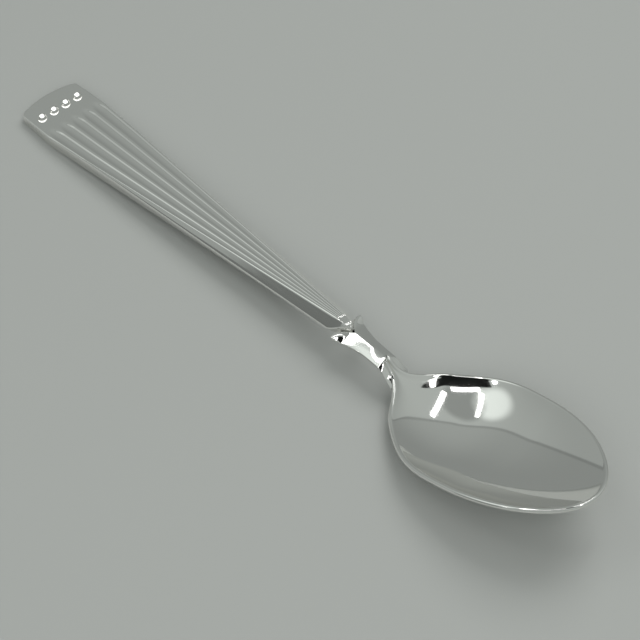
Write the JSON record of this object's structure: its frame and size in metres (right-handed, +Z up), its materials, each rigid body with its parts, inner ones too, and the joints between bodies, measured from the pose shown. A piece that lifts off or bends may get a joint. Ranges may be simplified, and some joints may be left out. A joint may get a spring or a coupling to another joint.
{
  "type": "teaspoon",
  "caption": "Silver teaspoon with an egg-shaped bowl, a ridged neck and a fluted fan-shaped handle that ends in a row of beads.",
  "frame": {"origin": "on the table, under the middle of the spoon's length and width as it lies", "axes": "+X from the handle's end towards the bowl's tip, +Z up out of the bowl, the spoon is the same on both sides of the XZ plane"},
  "size_m": [0.1298, 0.0242, 0.0131],
  "materials": {
    "polished_silver": "mirror-polished sterling silver with fine polishing marks"
  },
  "bodies": {
    "root": {"bowl": "polished_silver", "neck": "polished_silver", "handle": "polished_silver", "bead_1": "polished_silver", "bead_2": "polished_silver", "bead_3": "polished_silver", "bead_4": "polished_silver"}
  },
  "joints": []
}
